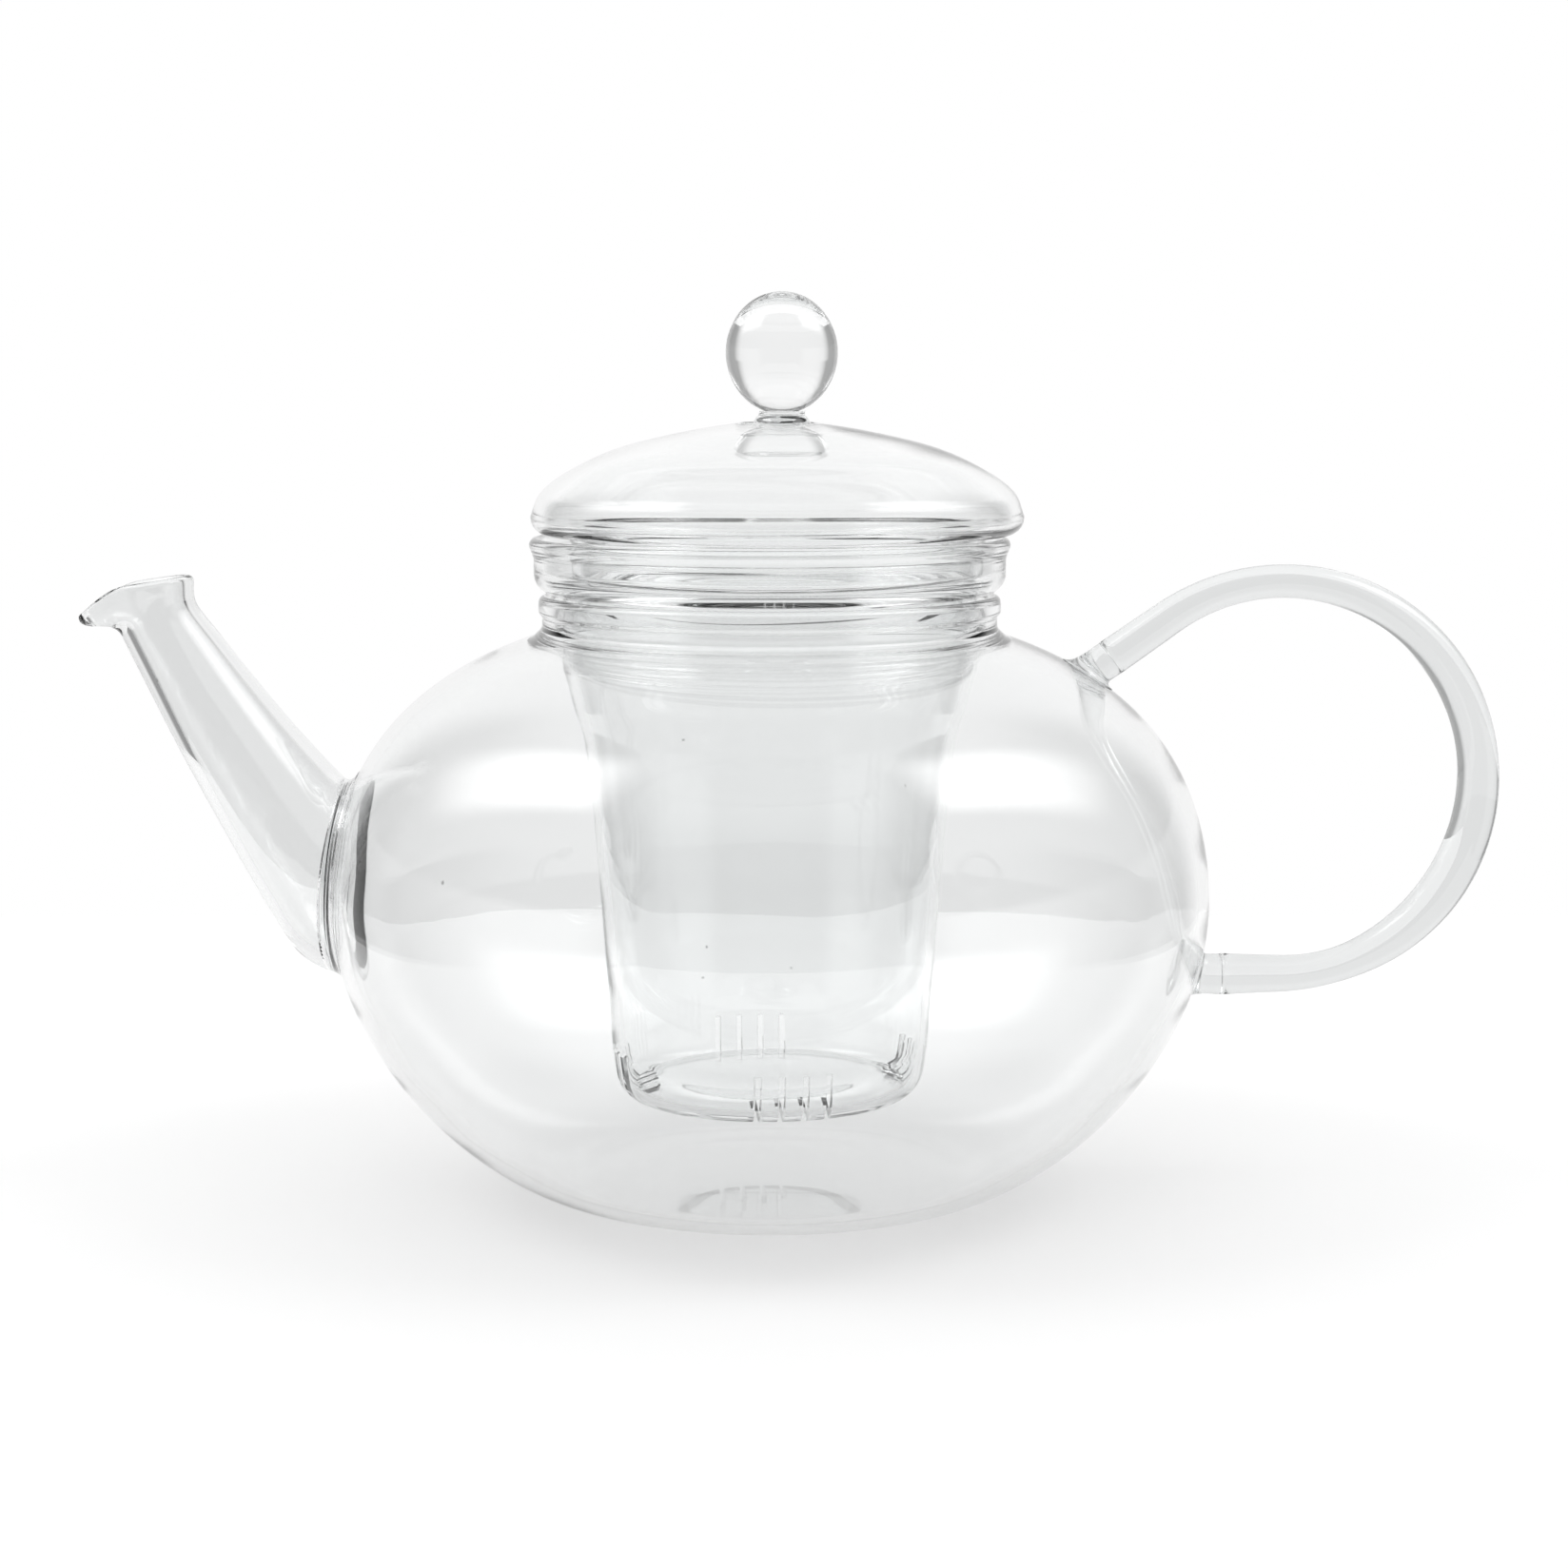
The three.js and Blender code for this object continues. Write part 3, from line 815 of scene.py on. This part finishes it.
FLOOR_SIDE, FLOOR_FRONT, FLOOR_BACK = 240.0, -400.0, 275.0
FLOOR_TOP = -0.2
FLOOR_GREY = 0.4
# The floor's glow under the pot and, this many metres away from it, at its full strength.
GLOW_NEAR, GLOW_FAR, GLOW_DISTANCE = 0.57, 0.63, 0.4
BACKDROP = 0.93
WHITE = 1.0
# A softbox's fades: along its length (X) or height (Y), the share where it is dark and the
# share where it is fully bright. X is 0 at its front end.
SOFTBOX_FADES = (("X", 0.0, 0.2), ("X", 1.0, 0.3), ("Y", 0.0, 0.35), ("Y", 1.0, 0.65))
SOFTBOX_FRONT, SOFTBOX_BACK = (0.40, -0.30, 0.80), (0.84, 0.40, 0.42)
SOFTBOX_HEIGHT = 0.46
SOFTBOX_BRIGHTNESS = 4.2
CAMERA_PLACE = (0.00238, -0.5721, 0.1432)
CAMERA_LENS = 78.61
CAMERA_DOWN = 7.381  # degrees below level


def floor():
    """A mid grey table top that looks pale because it glows, a little less under the pot."""
    corners = [(x, y, FLOOR_TOP) for x, y in (
        (-FLOOR_SIDE, FLOOR_FRONT), (FLOOR_SIDE, FLOOR_FRONT),
        (FLOOR_SIDE, FLOOR_BACK), (-FLOOR_SIDE, FLOOR_BACK))]
    skin = mesh_object("studio_floor", np.array(corners), [range(4)])
    material = bpy.data.materials.new("pale_floor")
    material.use_nodes = True
    nodes, links = material.node_tree.nodes, material.node_tree.links
    surface = nodes["Principled BSDF"]
    socket_values(surface, {
        "Base Color": (FLOOR_GREY, FLOOR_GREY, FLOOR_GREY, 1),
        "Roughness": 0.8, "Specular IOR Level": 0.0,
        "Emission Color": (1, 1, 1, 1),
    })
    place = nodes.new("ShaderNodeTexCoord")
    distance = nodes.new("ShaderNodeVectorMath")
    distance.operation = "LENGTH"
    glow = nodes.new("ShaderNodeMapRange")
    glow.interpolation_type = "SMOOTHSTEP"
    socket_values(glow, {
        "From Min": 0.0, "From Max": GLOW_DISTANCE, "To Min": GLOW_NEAR, "To Max": GLOW_FAR,
    })
    links.new(place.outputs["Object"], distance.inputs[0])
    links.new(distance.outputs["Value"], glow.inputs["Value"])
    links.new(glow.outputs["Result"], surface.inputs["Emission Strength"])
    skin.data.materials.append(material)


def world():
    """The studio round the pot, white where the camera sees it directly. The glass mirrors
    white sides, a backdrop a little below white, a dark side in front where the camera
    stands, a dim stretch above the tables and a bright ceiling. What is seen straight
    through the glass is the same but never as dark."""
    studio = bpy.data.worlds.new("studio")
    bpy.context.scene.world = studio
    studio.use_nodes = True
    nodes, links = studio.node_tree.nodes, studio.node_tree.links
    background = nodes["Background"]
    background.inputs["Color"].default_value = (1, 1, 1, 1)

    def math_node(operation, *values):
        node = nodes.new("ShaderNodeMath")
        node.operation = operation
        fill(node.inputs, values)
        return node.outputs["Value"]

    def blend(value, start, end, before, after):
        node = nodes.new("ShaderNodeMapRange")
        node.interpolation_type = "SMOOTHSTEP"
        fill(node.inputs, (value, start, end, before, after))
        return node.outputs["Result"]

    def fill(sockets, values):
        for socket, value in zip(sockets, values):
            if isinstance(value, (int, float)):
                socket.default_value = value
            else:
                links.new(value, socket)

    place = nodes.new("ShaderNodeTexCoord")
    parts = nodes.new("ShaderNodeSeparateXYZ")
    links.new(place.outputs["Generated"], parts.inputs["Vector"])
    x, y, z = parts.outputs
    level = math_node("SQRT", math_node(
        "ADD", math_node("POWER", x, 2.0), math_node("POWER", y, 2.0)))
    # front is 1 straight towards the camera's side and -1 straight behind the pot.
    front = math_node("DIVIDE", math_node("MULTIPLY", y, -1.0), level)
    # Up to table height: the backdrop, a dim stretch, the white sides and the dark front.
    low = blend(front, -0.85, -0.65, BACKDROP, 0.3)
    low = blend(front, -0.2, 0.35, low, WHITE)
    low = blend(front, 0.62, 0.8, low, 0.1)
    # Above it: the backdrop, the dim stretch elsewhere and the ceiling.
    behind = blend(z, 0.15, 0.4, BACKDROP, WHITE)
    high = blend(z, 0.3, 0.5, 0.05, 0.25)
    high = blend(front, -0.88, -0.66, behind, high)
    high = blend(z, 0.6, 0.9, high, WHITE)
    light = blend(z, 0.085, 0.115, low, high)
    # Rays that nothing has mirrored see at least this much light.
    rays = nodes.new("ShaderNodeLightPath")
    seen_through = math_node("MAXIMUM", light, blend(front, 0.0, 0.45, 0.45, 0.8))
    light = blend(rays.outputs["Glossy Depth"], 0.0, 1.0, seen_through, light)
    links.new(math_node("MAXIMUM", light, rays.outputs["Is Camera Ray"]),
              background.inputs["Strength"])


def softbox(name, side):
    """A long soft lamp on one side that faces the pot. It fades towards its edges, most of
    all towards its back end."""
    front_end, back_end = (
        Vector((side * x, y, z)) for x, y, z in (SOFTBOX_FRONT, SOFTBOX_BACK)
    )
    lamp = bpy.data.lights.new(name, "AREA")
    lamp.shape = "RECTANGLE"
    lamp.size = (back_end - front_end).length
    lamp.size_y = SOFTBOX_HEIGHT
    lamp.energy = SOFTBOX_BRIGHTNESS * math.pi * lamp.size * SOFTBOX_HEIGHT
    box = bpy.data.objects.new(name, lamp)
    bpy.context.scene.collection.objects.link(box)
    box.location = (front_end + back_end) / 2
    along = (back_end - front_end).normalized()
    across = (box.location - (cad_low + cad_high) / 2).cross(along).normalized()
    box.rotation_mode = "QUATERNION"
    turned_to = Matrix((along, across, along.cross(across))).transposed()
    box.rotation_quaternion = turned_to.to_quaternion()

    lamp.use_nodes = True
    nodes, links = lamp.node_tree.nodes, lamp.node_tree.links
    face = nodes.new("ShaderNodeNewGeometry")
    parts = nodes.new("ShaderNodeSeparateXYZ")
    links.new(face.outputs["Parametric"], parts.inputs["Vector"])
    fades = []
    for axis, edge, full in SOFTBOX_FADES:
        fade = nodes.new("ShaderNodeMapRange")
        fade.interpolation_type = "SMOOTHSTEP"
        socket_values(fade, {"From Min": edge, "From Max": full})
        links.new(parts.outputs[axis], fade.inputs["Value"])
        fades.append(fade.outputs["Result"])
    strength = fades[0]
    for fade in fades[1:]:
        product = nodes.new("ShaderNodeMath")
        product.operation = "MULTIPLY"
        links.new(strength, product.inputs[0])
        links.new(fade, product.inputs[1])
        strength = product.outputs["Value"]
    links.new(strength, nodes["Emission"].inputs["Strength"])


def camera():
    data = bpy.data.cameras.new("photo_camera")
    data.sensor_width = 36
    data.lens = CAMERA_LENS
    data.clip_start = 0.01
    data.clip_end = 100
    seat = bpy.data.objects.new("photo_camera", data)
    bpy.context.scene.collection.objects.link(seat)
    seat.location = CAMERA_PLACE
    seat.rotation_euler = (math.radians(90 - CAMERA_DOWN), 0, 0)
    bpy.context.scene.camera = seat


pot_body()
spout()
spout_weld()
handle()
infuser_collar()
infuser_cup()
lid_dome()
lid_skirt()
lid_stem()
lid_knob()

floor()
world()
softbox("softbox_left", -1)
softbox("softbox_right", 1)
camera()

scene = bpy.context.scene
scene.view_settings.view_transform = "Standard"
scene.cycles.max_bounces = 32
scene.cycles.transmission_bounces = 32
scene.cycles.glossy_bounces = 12
